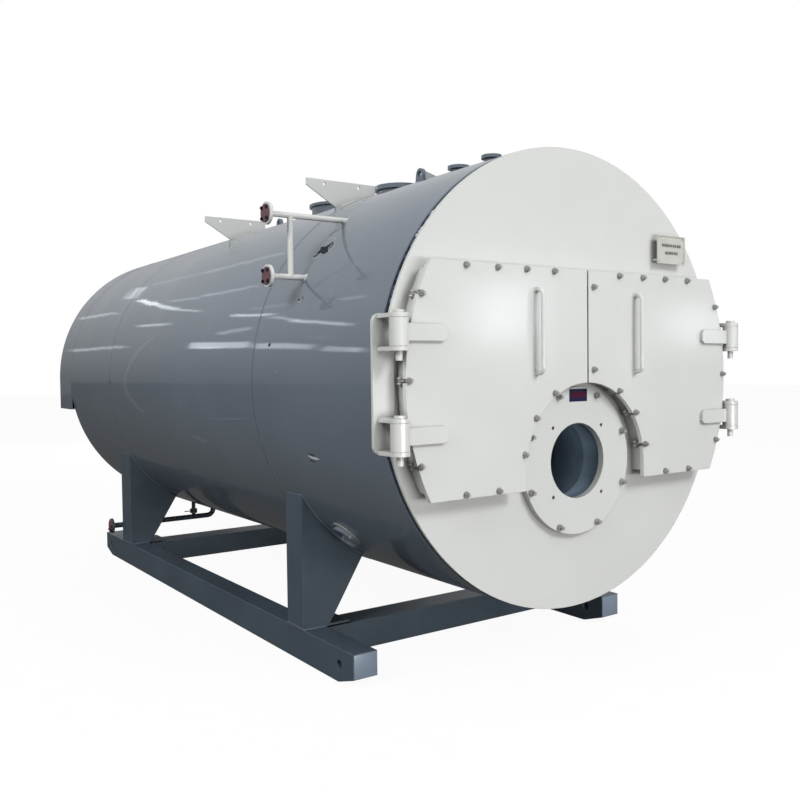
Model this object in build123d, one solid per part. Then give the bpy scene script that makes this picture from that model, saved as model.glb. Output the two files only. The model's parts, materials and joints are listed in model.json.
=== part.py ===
from build123d import *
import os
from math import atan2, cos, degrees, radians, sin, sqrt

# Millimetres. X runs to the right seen from the burner end, Y from the burner end to the rear and
# Z up. The origin is on the ground, under the middle of the whole boiler. A station is a distance
# behind the front face of the end plate, and a height is from the shell axis unless it says else.

# Shell
shell_radius = 1250         # outside of the cladding
shell_wall = 60             # cladding sheet, insulation and boiler plate together
ground_clearance = 418      # under the shell
shell_length = 5525         # front face of the end plate to the rear end of the shell
end_plate_wall = 16
neck_length = 34            # narrow ring between the end plate and the cladding
neck_depth = 22
front_seam = 1400           # station of the joint between the first two cladding courses
rear_seam_back = 1285       # the other joint, from the shell's rear end
seam_bevel = 4
fit_gap = 0.3               # between pieces that slip into each other
cut_over = 20               # how far a cut runs past the faces it opens

# Front smokebox, its frame and the two doors
smokebox_depth = 320        # end plate to the front tube sheet
door_margin = 50            # doors' curved edge inside the shell's outline
door_top = 585
door_bottom = -560
door_thickness = 25
door_split = 10             # gap between the two leaves
door_seat_gap = 10          # door plate to the frame, filled by the seal
arch_radius = 453
arch_height = -468          # centre of the arched cut-out round the burner
frame_depth = 80
frame_wall = 12
frame_inset = 32            # frame inside the doors' edge
mullion_width = 110         # upright bar of the frame behind the split
mullion_wall = 12
seal_inset = 2              # seal inside the frame's faces
lining_thickness = 70
lining_clearance = 20       # lining to the frame's inner face, room for the swing

# Swing-bolt clamps round the doors
clamp_inset = 19            # bolt centre inside the door's edge
clamp_bolt_radius = 8
clamp_notch_radius = 10
clamp_pin_radius = 5
clamp_pin_back = 36         # cross pin behind the frame's front edge
clamp_eye_radius = 12
clamp_eye_width = 16
clamp_lug_radius = 16
clamp_lug_wall = 7
clamp_lug_gap = 1           # lug plate to the eye
clamp_shank_gap = 6         # swing bolt's end to the door, so that the leaf swings free
clamp_washer_radius = 17
clamp_washer_height = 4
clamp_nut_radius = 14.5     # over the corners
clamp_nut_height = 13
clamp_bolt_end = 9          # thread that stands out of the nut
clamp_top_shares = (0.2075, 0.37, 0.53, 0.6975)     # along the top, of the door radius
clamp_bottom_shares = (0.533, 0.708)                # along the bottom, of the door radius
clamp_side_shares = (0.718, 0.026, -0.658)          # up the side, of the door top's height
clamp_arch_turns = (58.4, 36, 11.6)                 # degrees up round the arch
split_bolt_inset = 45       # set bolts of the right leaf, from the boiler's middle plane
split_bolt_drop = 88        # upper one under the doors' top
split_bolt_rise = 69        # lower one over the arch

# Hinges
hinge_inset = 5             # hinge axis inside the shell's outline
hinge_forward = 130         # hinge axis in front of the end plate
hinge_height = 240          # knuckle centres over and under the shell axis
knuckle_radius = 45
knuckle_height = 130
knuckle_gap = 1             # knuckle to the lug plates over and under it
pin_radius = 16
pin_clearance = 0.5
pin_tail = 45               # pin end under the lower lug plate
pin_head_radius = 26
pin_head_height = 14
strap_length = 280          # hinge axis to the strap's inner end
strap_height = 80
strap_thickness = 20
strap_corner = 28
lug_thickness = 20
bracket_thickness = 16
bracket_in = 55             # bracket plate's inner edge, inside the shell's outline
bracket_out = 65            # its outer edge, outside the shell's outline
bracket_half_height = 330
bracket_corner = 45

# Door handles
handle_place = 378          # from the middle plane
handle_low = 40
handle_high = 465
handle_bar_radius = 12
handle_stand = 50           # bar centre in front of the door plate
handle_bend = 30

# Burner seat and furnace
burner_height = -441        # burner and furnace axis
burner_plate_radius = 402
burner_plate_thickness = 38
burner_bore_radius = 205
burner_hole_radius = 10
burner_hole_spacing = 372   # square pattern of the burner's fixing holes
burner_stud_circle = 380    # radius of the circle of studs that hold the plate
burner_stud_count = 8
burner_stud_radius = 10
burner_stud_length = 34
burner_nut_radius = 18
burner_nut_height = 16
throat_bore_radius = 215
throat_length = 520
throat_straight = 120       # length of the throat before it flares
throat_wall = 30
collar_radius = 430
collar_wall = 12
tube_sheet_thickness = 25
furnace_length = 4600
furnace_wall = 14
furnace_end_thickness = 20

# Rear smokebox
rear_box_length = 398
rear_box_bottom = -300
rear_box_wall = 12
rear_cover_thickness = 20
flue_radius = 225
flue_wall = 10
flue_length = 110
flue_lip = 55               # flange over the pipe
flue_flange_thickness = 14
flue_height = 450
inspection_radius = 230
inspection_gap = 40         # under the smokebox
inspection_thickness = 30

# Skid and legs
beam_inset = 192            # beam's outer face inside the shell's outline
beam_width = 155
beam_height = 191
beam_front = 606            # station of the beam's front end
beam_rear_back = 426        # beam's rear end, from the shell's rear end
beam_toe_height = 51
beam_toe_length = 160
tow_hole_radius = 26
tow_hole_back = 148         # hole centre from the beam's end
tow_hole_height = 100       # over the ground
cross_height = 178
cross_wall = 10
front_leg_station = 1167
front_leg_length = 196
rear_leg_back = 928         # rear leg's rear face, from the shell's rear end
rear_leg_length = 239
leg_wall = 12
leg_foot_width = 183
leg_top_width = 426         # where the leg meets the shell
leg_base_width = 318
leg_base_thickness = 10
leg_base_rim = 8

# Platform brackets
front_bracket_station = 1650
rear_bracket_station = 3340
wing_inner = 185            # from the middle plane
wing_outer = 720
wing_rise = 70              # over the crown of the shell
wing_tip = 45
wing_foot = 500             # where its lower edge meets the shell
wing_thickness = 10
wing_hole_radius = 11
wing_hole_drop = 28
wing_hole_shares = (0.25, 0.75)

# Fittings on top; a rise is the height over the crown of the shell
vent_station = 655
vent_radius = 42
vent_rise = 98
valve_station = 970
valve_radius = 50
valve_rise = 95
steam_station = 2455
steam_radius = 200
steam_rise = 80
nozzle_wall_share = 0.16    # of the pipe radius
nozzle_lip = 20             # flange over the pipe
nozzle_flange = 20
manhole_station = 1630
manhole_radius = 150
manhole_rise = 48
manhole_lip = 20
manhole_cover = 30
front_lug_station = 1372
front_lug_rise = 160
rear_lug_station = 3430
rear_lug_rise = 125
eye_plate_width = 120
eye_plate_wall = 25
eye_head_radius = 38
eye_radius = 20

# Water columns
column_station = 1000
column_low = 592
column_high = 935
column_pipe_radius = 16.5
column_stand = 72           # pipe ends outside the shell's outline
column_upright_in = 60      # upright inside the shell's outline
column_flange_radius = 62
column_flange_thickness = 18
column_blind_radius = 50
blind_thickness = 16

# Hand holes low on the sides
hand_station = 960
hand_angle = -46
hand_radius = 92
hand_rim_width = 20
hand_rim_height = 26
hand_cover_height = 10

# Drain under the shell, led across to the left
drain_back = 775            # from the shell's rear end
drain_radius = 24
drain_drop = 110            # level pipe under the shell's lowest line
drain_riser = 115           # from the middle plane
drain_bend = 60
drain_stub = 317            # from the middle plane
drain_stub_radius = 18
drain_overhang = 45         # pipe end outside the skid beam
drain_flange_radius = 68
drain_flange_thickness = 16
drain_blind_radius = 60
drain_valve_radius = 34
drain_valve_height = 40
drain_valve_rise = 14       # its body over the level pipe
drain_lever_length = 90
drain_lever_width = 20
drain_lever_thickness = 6

# Nameplate
nameplate_angle = 43.75
nameplate_margin = 163      # its centre inside the shell's outline
nameplate_width = 250
nameplate_height = 167
nameplate_thickness = 4
nameplate_border_width = 8
nameplate_border_height = 3
nameplate_stand = 42
nameplate_post_radius = 9
nameplate_post_inset = 24

# Places worked out from the sizes above
axis_height = ground_clearance + shell_radius
shell_inner = shell_radius - shell_wall
door_radius = shell_radius - door_margin
door_front = frame_depth + door_seat_gap + door_thickness
front_reach = door_front + handle_stand + handle_bar_radius
rear_box_end = shell_length + rear_box_length
flue_start = rear_box_end + rear_cover_thickness
rear_reach = flue_start + flue_length
front_y = (front_reach - rear_reach) / 2
opening_inset = frame_inset + frame_wall
lining_inset = opening_inset + lining_clearance
hinge_reach = shell_radius - hinge_inset
beam_outer = shell_radius - beam_inset
beam_inner = beam_outer - beam_width
rear_leg_station = shell_length - rear_leg_back - rear_leg_length
nozzles = {
    "vent_nozzle": (vent_station, vent_radius, shell_radius + vent_rise),
    "safety_valve_nozzle": (valve_station, valve_radius, shell_radius + valve_rise),
    "steam_outlet": (steam_station, steam_radius, shell_radius + steam_rise),
}


def front_view(station):
    """A drawing plane that faces the burner end, with its origin on the shell axis."""
    return Plane(origin=(0, front_y + station, axis_height), x_dir=(1, 0, 0), z_dir=(0, -1, 0))


def slab(outline, front, rear):
    """A front-view outline made solid between two stations."""
    return extrude(front_view(rear) * outline, amount=rear - front)


def side_slab(outline, left, right):
    """A side-view outline, drawn over the ground from the front, made solid between two X places."""
    plane = Plane(origin=(left, front_y, 0), x_dir=(0, 1, 0), z_dir=(1, 0, 0))
    return extrude(plane * outline, amount=right - left)


def post(x, station, low, high, radius, bore=0):
    """An upright round piece between two heights."""
    outline = Circle(radius) - Circle(bore) if bore else Circle(radius)
    return Pos(x, front_y + station, axis_height + low) * extrude(outline, amount=high - low)


def lying(start, end, station, height, radius):
    """A round piece that lies across the boiler between two X places."""
    left, right = sorted((start, end))
    plane = Plane(origin=(left, front_y + station, axis_height + height), z_dir=(1, 0, 0))
    return extrude(plane * Circle(radius), amount=right - left)


def shell_plug(front, rear):
    """The space that the shell fills, to trim what is set on it."""
    return slab(Circle(shell_radius), front, rear)


def repeat(spots, outline):
    """One outline at each of several spots, as a single sketch."""
    return Sketch() + [spot * outline for spot in spots]


def on_both_sides(make):
    """A piece and its opposite number, from a function of the side."""
    return [make(-1), make(1)]


def door_face(inset):
    """The outline of both doors together, drawn in by an inset all round."""
    high = door_top - inset
    low = door_bottom + inset
    band = Pos(0, (high + low) / 2) * Rectangle(2 * door_radius, high - low)
    arch = Pos(0, arch_height) * Circle(arch_radius + inset)
    foot = arch_height - door_bottom
    mouth = Pos(0, arch_height - foot / 2) * Rectangle(2 * (arch_radius + inset), foot)
    return (Circle(door_radius - inset) & band) - arch - mouth


def door_half(side, inset, split):
    """One leaf of the doors' outline, kept back from the split."""
    half = Pos(side * (split + door_radius / 2), 0) * Rectangle(door_radius, 2 * door_radius)
    return door_face(inset) & half


def clamp_spots(side):
    """Swing-bolt places round one leaf, each turned so that its own X points off the leaf."""
    rim = door_radius - clamp_inset
    places = []
    for share in clamp_top_shares:
        places.append((side * door_radius * share, door_top - clamp_inset, 90))
    for share in clamp_bottom_shares:
        places.append((side * door_radius * share, door_bottom + clamp_inset, -90))
    for share in clamp_side_shares:
        height = door_top * share
        across = side * sqrt(rim ** 2 - height ** 2)
        places.append((across, height, degrees(atan2(height, across))))
    for turn in clamp_arch_turns:
        angle = turn if side > 0 else 180 - turn
        reach = arch_radius + clamp_inset
        across = reach * cos(radians(angle))
        places.append((across, arch_height + reach * sin(radians(angle)), angle + 180))
    return [Pos(x, z) * Rot(0, 0, angle) for x, z, angle in places]


def split_bolt_spots():
    """Two set bolts that hold the right leaf to the upright bar behind the split."""
    low = arch_height + arch_radius + split_bolt_rise
    return [Pos(split_bolt_inset, door_top - split_bolt_drop), Pos(split_bolt_inset, low)]


def course(front, rear):
    """One cladding course with bevelled edges at its joints and holes for the nozzles."""
    ring = slab(Circle(shell_radius) - Circle(shell_inner), front, rear)
    rims = ring.edges().filter_by(GeomType.CIRCLE).filter_by(lambda e: e.radius > shell_inner + seam_bevel)
    ring = chamfer(rims, seam_bevel)
    for station, radius, top in nozzles.values():
        ring -= post(0, station, 0, top, radius + fit_gap)
    return ring


def neck_ring():
    ring = Circle(shell_radius - neck_depth) - Circle(shell_inner)
    return slab(ring, end_plate_wall, end_plate_wall + neck_length)


def front_end_plate():
    throat_hole = Pos(0, burner_height) * Circle(throat_bore_radius + throat_wall + fit_gap)
    return slab(Circle(shell_radius) - door_face(opening_inset) - throat_hole, 0, end_plate_wall)


def smokebox_frame():
    """The welded rim that the doors close on, with the upright bar behind the split."""
    rim = slab(door_face(frame_inset) - door_face(opening_inset), -frame_depth, 0)
    strip = Rectangle(mullion_width, 2 * door_radius)
    bar = (door_face(frame_inset) & strip) - repeat(split_bolt_spots(), Circle(clamp_bolt_radius))
    return rim + slab(bar, -frame_depth, -frame_depth + mullion_wall)


def door_seal():
    outer = door_face(frame_inset + seal_inset)
    inner = door_face(opening_inset - seal_inset)
    return slab(outer - inner, -frame_depth - door_seat_gap + fit_gap, -frame_depth)


def front_tube_sheet():
    furnace_hole = Pos(0, burner_height) * Circle(collar_radius + fit_gap)
    rear = smokebox_depth + tube_sheet_thickness
    return slab(Circle(shell_inner - fit_gap) - furnace_hole, smokebox_depth, rear)


def furnace_collar():
    ring = Circle(collar_radius) - Circle(collar_radius - collar_wall)
    return slab(Pos(0, burner_height) * ring, end_plate_wall, smokebox_depth)


def furnace_tube():
    ring = Circle(collar_radius) - Circle(collar_radius - furnace_wall)
    return slab(Pos(0, burner_height) * ring, smokebox_depth, smokebox_depth + furnace_length)


def furnace_end():
    back = smokebox_depth + furnace_length
    return slab(Pos(0, burner_height) * Circle(collar_radius), back, back + furnace_end_thickness)


def burner_throat():
    """The refractory throat, straight at first and flaring into the furnace."""
    mouth_radius = collar_radius - furnace_wall - fit_gap - throat_wall
    profile = Polyline(
        (throat_bore_radius, 0),
        (throat_bore_radius + throat_wall, 0),
        (throat_bore_radius + throat_wall, throat_straight),
        (mouth_radius + throat_wall, throat_length),
        (mouth_radius, throat_length),
        (throat_bore_radius, throat_straight),
        close=True,
    )
    turned = revolve(make_face(profile), axis=Axis.Y)
    return Pos(0, front_y, axis_height + burner_height) * turned


def burner_stud_spots():
    """A ring of places with none at the top."""
    return PolarLocations(burner_stud_circle, burner_stud_count, 180 / burner_stud_count)


def burner_plate():
    grid = GridLocations(burner_hole_spacing, burner_hole_spacing, 2, 2)
    outline = Circle(burner_plate_radius) - Circle(burner_bore_radius)
    outline -= repeat(grid, Circle(burner_hole_radius))
    outline -= repeat(burner_stud_spots(), Circle(burner_stud_radius + fit_gap))
    return slab(Pos(0, burner_height) * outline, -burner_plate_thickness, 0)


def burner_plate_studs():
    spots = burner_stud_spots()
    face = -burner_plate_thickness
    studs = repeat(spots, Circle(burner_stud_radius))
    nuts = repeat(spots, RegularPolygon(burner_nut_radius, 6))
    bodies = slab(studs, face - burner_stud_length, 0) + slab(nuts, face - burner_nut_height, face)
    return Pos(0, 0, burner_height) * bodies


def door_plate(side):
    """One leaf, notched at its edge for the swing bolts."""
    notch_length = clamp_inset + cut_over
    notch = Circle(clamp_notch_radius)
    notch += Pos(notch_length / 2, 0) * Rectangle(notch_length, 2 * clamp_notch_radius)
    outline = door_half(side, 0, door_split / 2) - repeat(clamp_spots(side), notch)
    if side > 0:
        outline -= repeat(split_bolt_spots(), Circle(clamp_notch_radius))
    return slab(outline, -door_front, -door_front + door_thickness)


def door_lining(side):
    front = -door_front + door_thickness
    split = mullion_width / 2 + lining_clearance
    return slab(door_half(side, lining_inset, split), front, front + lining_thickness)


def door_handle(side):
    bar = -door_front - handle_stand
    path = FilletPolyline(
        (0, -door_front, handle_low),
        (0, bar, handle_low),
        (0, bar, handle_high),
        (0, -door_front, handle_high),
        radius=handle_bend,
    )
    section = Plane(origin=path @ 0, z_dir=path % 0) * Circle(handle_bar_radius)
    return Pos(side * handle_place, front_y, axis_height) * sweep(section, path)


def door_nuts(side):
    """Washers and nuts on one leaf, each with the bolt end that passes through its notch."""
    spots = clamp_spots(side)
    if side > 0:
        spots = spots + split_bolt_spots()
    washers = repeat(spots, Circle(clamp_washer_radius))
    nuts = repeat(spots, RegularPolygon(clamp_nut_radius, 6))
    shanks = repeat(spots, Circle(clamp_bolt_radius))
    seat = -door_front - clamp_washer_height
    top = seat - clamp_nut_height
    bodies = slab(washers, seat, -door_front) + slab(nuts, top, seat)
    return bodies + slab(shanks, top - clamp_bolt_end, -frame_depth - door_seat_gap)


def clamp_places():
    """Planes at the cross pins of all clamps: X off the leaf, Y along the pin, Z to the front."""
    spots = clamp_spots(-1) + clamp_spots(1)
    pin_depth = -frame_depth + clamp_pin_back
    return [front_view(pin_depth).location * spot for spot in spots]


def swing_bolts():
    """Eye bolts on the frame; each stops short of the leaf, where the nut's shank carries on."""
    length = clamp_pin_back + door_seat_gap - clamp_shank_gap
    eye = Cylinder(clamp_eye_radius, clamp_eye_width, rotation=(90, 0, 0))
    shank = extrude(Circle(clamp_bolt_radius), amount=length)
    hole = Cylinder(clamp_pin_radius + fit_gap, clamp_eye_width, rotation=(90, 0, 0))
    bolt = eye + shank - hole
    return [place * bolt for place in clamp_places()]


def clamp_lugs():
    """Pairs of round-ended lug plates on the frame, each pair with its cross pin."""
    root = frame_inset - clamp_inset - fit_gap
    outline = Circle(clamp_lug_radius) + Pos(-root / 2, 0) * Rectangle(root, 2 * clamp_lug_radius)
    inner = clamp_eye_width / 2 + clamp_lug_gap
    outer = inner + clamp_lug_wall
    pair = extrude(Plane.XZ.offset(inner) * outline, amount=clamp_lug_wall)
    pair += extrude(Plane.XZ.offset(-outer) * outline, amount=clamp_lug_wall)
    pair &= Pos(clamp_lug_radius - root, 0, 0) * Box(
        2 * clamp_lug_radius, 2 * outer, 2 * clamp_lug_radius)
    pin = Cylinder(clamp_pin_radius, 2 * outer + clamp_lug_wall, rotation=(90, 0, 0))
    return [place * (pair + pin) for place in clamp_places()]


def hinge_strap(side, height):
    """A strap with its knuckle, bored for the pin."""
    blade = Pos(side * (hinge_reach - strap_length / 2), height) * Rectangle(strap_length, strap_height)
    tips = [v for v in blade.vertices() if abs(v.X) < hinge_reach - strap_length / 2]
    strap = slab(fillet(tips, strap_corner), -door_front - strap_thickness, -door_front)
    low = height - knuckle_height / 2
    high = height + knuckle_height / 2
    knuckle = post(side * hinge_reach, -hinge_forward, low, high, knuckle_radius)
    bore = post(side * hinge_reach, -hinge_forward, low, high, pin_radius + pin_clearance)
    return strap + knuckle - bore


def hinge_straps(side):
    return [hinge_strap(side, height) for height in (-hinge_height, hinge_height)]


def lug_bottoms(height):
    """Undersides of the two lug plates that hold one knuckle."""
    reach = knuckle_height / 2 + knuckle_gap
    return (height - reach - lug_thickness, height + reach)


def hinge_bracket(side):
    """A tall plate on the end plate with four lug plates for the two knuckles."""
    width = bracket_in + bracket_out
    middle = shell_radius + bracket_out - width / 2
    plate = Pos(side * middle, 0) * Rectangle(width, 2 * bracket_half_height)
    outer = [v for v in plate.vertices() if abs(v.X) > middle]
    body = slab(fillet(outer, bracket_corner), -bracket_thickness, 0)
    arm = hinge_forward - bracket_thickness
    tongue = Pos(0, arm / 2) * Rectangle(2 * knuckle_radius, arm)
    lug = extrude(Circle(knuckle_radius) + tongue - Circle(pin_radius + fit_gap), amount=lug_thickness)
    for height in (-hinge_height, hinge_height):
        for low in lug_bottoms(height):
            body += Pos(side * hinge_reach, front_y - hinge_forward, axis_height + low) * lug
    return body


def hinge_pin(side, height):
    """A headed pin that drops through the lug plates from above."""
    low, high = lug_bottoms(height)
    top = high + lug_thickness
    shank = post(side * hinge_reach, -hinge_forward, low - pin_tail, top, pin_radius)
    return shank + post(side * hinge_reach, -hinge_forward, top, top + pin_head_height, pin_head_radius)


def hinge_pins(side):
    return [hinge_pin(side, height) for height in (-hinge_height, hinge_height)]


def rear_box_face(inset):
    """The rear smokebox outline: a half circle on upright sides with a flat bottom."""
    radius = shell_radius - inset
    low = rear_box_bottom + inset
    sides = Pos(0, low / 2) * Rectangle(2 * radius, -low)
    half = Circle(radius) & (Pos(0, radius / 2) * Rectangle(2 * radius, radius))
    return half + sides


def rear_end_plate():
    return slab(Circle(shell_inner - fit_gap), shell_length - end_plate_wall, shell_length)


def rear_smokebox():
    return slab(rear_box_face(0) - rear_box_face(rear_box_wall), shell_length, rear_box_end)


def rear_smokebox_cover():
    bore = Pos(0, flue_height) * Circle(flue_radius - flue_wall)
    return slab(rear_box_face(0) - bore, rear_box_end, flue_start)


def flue_outlet():
    bore = Circle(flue_radius - flue_wall)
    pipe = slab(Circle(flue_radius) - bore, flue_start, rear_reach)
    flange = Circle(flue_radius + flue_lip) - bore
    return Pos(0, 0, flue_height) * (pipe + slab(flange, rear_reach - flue_flange_thickness, rear_reach))


def rear_inspection_cover():
    height = rear_box_bottom - inspection_gap - inspection_radius
    cover = Pos(0, height) * Circle(inspection_radius)
    return slab(cover, shell_length, shell_length + inspection_thickness)


def skid_beam(side):
    """A beam with both lower ends cut up to a toe, and a tow hole at each end."""
    rear = shell_length - beam_rear_back
    outline = make_face(Polyline(
        (beam_front, beam_toe_height),
        (beam_front + beam_toe_length, 0),
        (rear - beam_toe_length, 0),
        (rear, beam_toe_height),
        (rear, beam_height),
        (beam_front, beam_height),
        close=True,
    ))
    for station in (beam_front + tow_hole_back, rear - tow_hole_back):
        outline -= Pos(station, tow_hole_height) * Circle(tow_hole_radius)
    left, right = sorted((side * beam_inner, side * beam_outer))
    return side_slab(outline, left, right)


def cross_beam(station, length):
    """A box section between the two skid beams."""
    outline = Rectangle(length, cross_height) - Rectangle(length - 2 * cross_wall, cross_height - 2 * cross_wall)
    return side_slab(Pos(station + length / 2, cross_height / 2) * outline, -beam_inner, beam_inner)


def leg_face(side, wall):
    """The front view of a leg, drawn in by the wall; the shell trims its top."""
    foot = beam_height - axis_height + leg_base_thickness
    outer = beam_outer - wall
    top = -sqrt(shell_radius ** 2 - beam_outer ** 2) + cut_over
    arc_inner = beam_outer - leg_top_width + wall
    return make_face(Polyline(
        (side * outer, foot),
        (side * outer, top),
        (side * arc_inner, top),
        (side * arc_inner, -sqrt(shell_radius ** 2 - arc_inner ** 2)),
        (side * (beam_outer - leg_foot_width + wall), foot),
        close=True,
    ))


def leg(side, station, length):
    """A welded box leg that flares up to the shell and stands on a base plate."""
    rear = station + length
    box = slab(leg_face(side, 0), station, rear)
    box -= slab(leg_face(side, leg_wall), station + leg_wall, rear - leg_wall)
    box -= shell_plug(station - cut_over, rear + cut_over)
    height = beam_height - axis_height + leg_base_thickness / 2
    width = leg_base_width + leg_base_rim
    middle = side * (beam_outer + leg_base_rim - width / 2)
    base = Pos(middle, height) * Rectangle(width, leg_base_thickness)
    return box + slab(base, station - leg_base_rim, rear + leg_base_rim)


def platform_bracket(side, station):
    """A wing plate on the shell that carries the walkway, with two bolt holes."""
    top = shell_radius + wing_rise
    outline = make_face(Polyline(
        (side * wing_inner, top),
        (side * wing_outer, top),
        (side * wing_outer, top - wing_tip),
        (side * wing_foot, sqrt(shell_radius ** 2 - wing_foot ** 2)),
        (side * wing_foot, sqrt(shell_radius ** 2 - wing_foot ** 2) - cut_over),
        (side * wing_inner, sqrt(shell_radius ** 2 - wing_inner ** 2) - cut_over),
        close=True,
    ))
    for share in wing_hole_shares:
        across = wing_inner + (wing_outer - wing_inner) * share
        outline -= Pos(side * across, top - wing_hole_drop) * Circle(wing_hole_radius)
    outline -= Circle(shell_radius)
    return slab(outline, station, station + wing_thickness)


def nozzle(station, radius, top):
    """A flanged nozzle that passes through the cladding."""
    bore = radius - radius * nozzle_wall_share
    low = sqrt(shell_inner ** 2 - radius ** 2)
    pipe = post(0, station, low, top, radius, bore)
    return pipe + post(0, station, top - nozzle_flange, top, radius + nozzle_lip, bore)


def manhole():
    """A short neck with a closed round cover."""
    top = shell_radius + manhole_rise
    rim = manhole_radius + manhole_lip
    neck = post(0, manhole_station, shell_inner, top, manhole_radius)
    neck += post(0, manhole_station, top, top + manhole_cover, rim)
    return neck - shell_plug(manhole_station - rim, manhole_station + rim)


def lifting_lug(station, rise):
    """A plate along the top of the shell that narrows to a round head with an eye."""
    top = axis_height + shell_radius + rise
    low = axis_height + shell_inner
    eye = Pos(station, top - eye_head_radius)
    base = Pos(station, low + shell_wall / 2) * Rectangle(eye_plate_width, shell_wall)
    head = eye * Circle(eye_head_radius)
    outline = make_hull(base.edges() + head.edges()) - eye * Circle(eye_radius)
    plate = side_slab(outline, -eye_plate_wall / 2, eye_plate_wall / 2)
    return plate - shell_plug(station - eye_plate_width, station + eye_plate_width)


def water_column(side):
    """Two level pipes from the shell, joined by an upright, with a flange on each end."""
    end = shell_radius + column_stand
    upright = side * (shell_radius - column_upright_in)
    body = post(upright, column_station, column_low, column_high, column_pipe_radius)
    for height in (column_low, column_high):
        body += lying(0, side * end, column_station, height, column_pipe_radius)
        rim = side * (end + column_flange_thickness)
        body += lying(side * end, rim, column_station, height, column_flange_radius)
    return body - shell_plug(column_station - column_flange_radius, column_station + column_flange_radius)


def column_blind(side, height):
    start = shell_radius + column_stand + column_flange_thickness
    return lying(side * start, side * (start + blind_thickness), column_station, height, column_blind_radius)


def drain_pipe():
    """A level pipe to the left with a blank flange, fed by a riser and by a stub with a lever valve."""
    station = shell_length - drain_back
    level = -shell_radius - drain_drop
    end = -beam_outer - drain_overhang
    path = FilletPolyline((-drain_riser, 0, 0), (-drain_riser, 0, level), (end, 0, level), radius=drain_bend)
    section = Plane(origin=path @ 0, z_dir=path % 0) * Circle(drain_radius)
    body = Pos(0, front_y + station, axis_height) * sweep(section, path)
    body += lying(end - drain_flange_thickness, end, station, level, drain_flange_radius)
    body += post(-drain_stub, station, level, 0, drain_stub_radius)
    valve_low = level + drain_radius + drain_valve_rise
    valve_top = valve_low + drain_valve_height
    body += post(-drain_stub, station, valve_low, valve_top, drain_valve_radius)
    lever = Pos(-drain_stub - drain_lever_length / 2, front_y + station, axis_height + (valve_low + valve_top) / 2)
    body += lever * Box(drain_lever_length, drain_lever_width, drain_lever_thickness)
    return body - shell_plug(station - drain_back, station + drain_back)


def pipe_blinds():
    """Blank covers on the ends of the water columns and of the drain."""
    blinds = [column_blind(side, height) for side in (-1, 1) for height in (column_low, column_high)]
    start = -beam_outer - drain_overhang - drain_flange_thickness
    station = shell_length - drain_back
    level = -shell_radius - drain_drop
    return blinds + [lying(start - blind_thickness, start, station, level, drain_blind_radius)]


def hand_hole(side):
    """A rimmed round cover on the lower side of the shell."""
    rise = radians(hand_angle)
    out = Vector(side * cos(rise), 0, sin(rise))
    low = sqrt(shell_radius ** 2 - hand_radius ** 2)
    plane = Plane(origin=Vector(0, front_y + hand_station, axis_height) + out * low, z_dir=out)
    sink = shell_radius - low
    rim = extrude(plane * (Circle(hand_radius) - Circle(hand_radius - hand_rim_width)), amount=sink + hand_rim_height)
    cover = extrude(plane * Circle(hand_radius), amount=sink + hand_cover_height)
    return rim + cover - shell_plug(hand_station - 2 * hand_radius, hand_station + 2 * hand_radius)


def nameplate():
    """A bare plate with a raised border, on four posts up on the end plate."""
    reach = shell_radius - nameplate_margin
    angle = radians(nameplate_angle)
    centre = Pos(reach * cos(angle), reach * sin(angle))
    face = Rectangle(nameplate_width, nameplate_height)
    inner = Rectangle(
        nameplate_width - 2 * nameplate_border_width, nameplate_height - 2 * nameplate_border_width)
    front = -nameplate_stand - nameplate_thickness
    plate = slab(centre * face, front, -nameplate_stand)
    border = slab(centre * (face - inner), front - nameplate_border_height, front)
    spots = GridLocations(
        nameplate_width - 2 * nameplate_post_inset, nameplate_height - 2 * nameplate_post_inset, 2, 2)
    return plate + border + slab(centre * repeat(spots, Circle(nameplate_post_radius)), -nameplate_stand, 0)


def solids_of(shape):
    """A flat list of the solids in a shape or in a list of shapes."""
    if isinstance(shape, (list, tuple)):
        return [solid for item in shape for solid in solids_of(item)]
    return list(shape.solids())


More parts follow.
